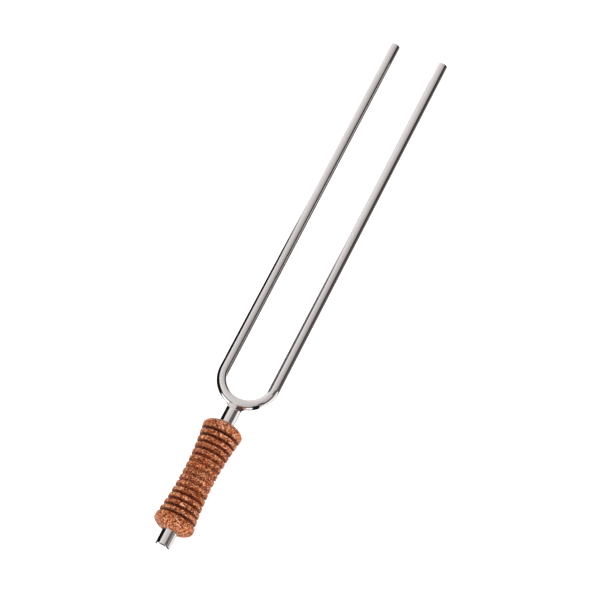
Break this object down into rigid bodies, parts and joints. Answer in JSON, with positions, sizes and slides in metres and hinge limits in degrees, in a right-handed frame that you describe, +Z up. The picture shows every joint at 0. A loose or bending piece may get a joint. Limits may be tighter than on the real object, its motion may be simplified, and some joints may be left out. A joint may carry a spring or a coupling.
{
  "type": "tuning fork",
  "caption": "Long round-bar body tuning fork: a bent U brazed to a straight stem, with a ribbed waisted cork grip and a plain round foot.",
  "frame": {"origin": "centre of the flat end of the foot", "axes": "+Y along the stem from the foot to the free ends of the tines, +X across the tines, +Z up, square to the plane of the fork, which lies on its back"},
  "size_m": [0.0384, 0.35, 0.0246],
  "materials": {
    "nickel_plate": "polished nickel plate over steel and braze, mirror bright",
    "cork_composition": "red-brown cork composition, turned, with paler and golden granules",
    "glue": "cured brown contact adhesive"
  },
  "bodies": {
    "root": {"tine_bar": "nickel_plate", "stem": "nickel_plate", "braze_fillet": "nickel_plate", "cork_grip": "cork_composition", "glue_sleeve": "glue"}
  },
  "joints": []
}
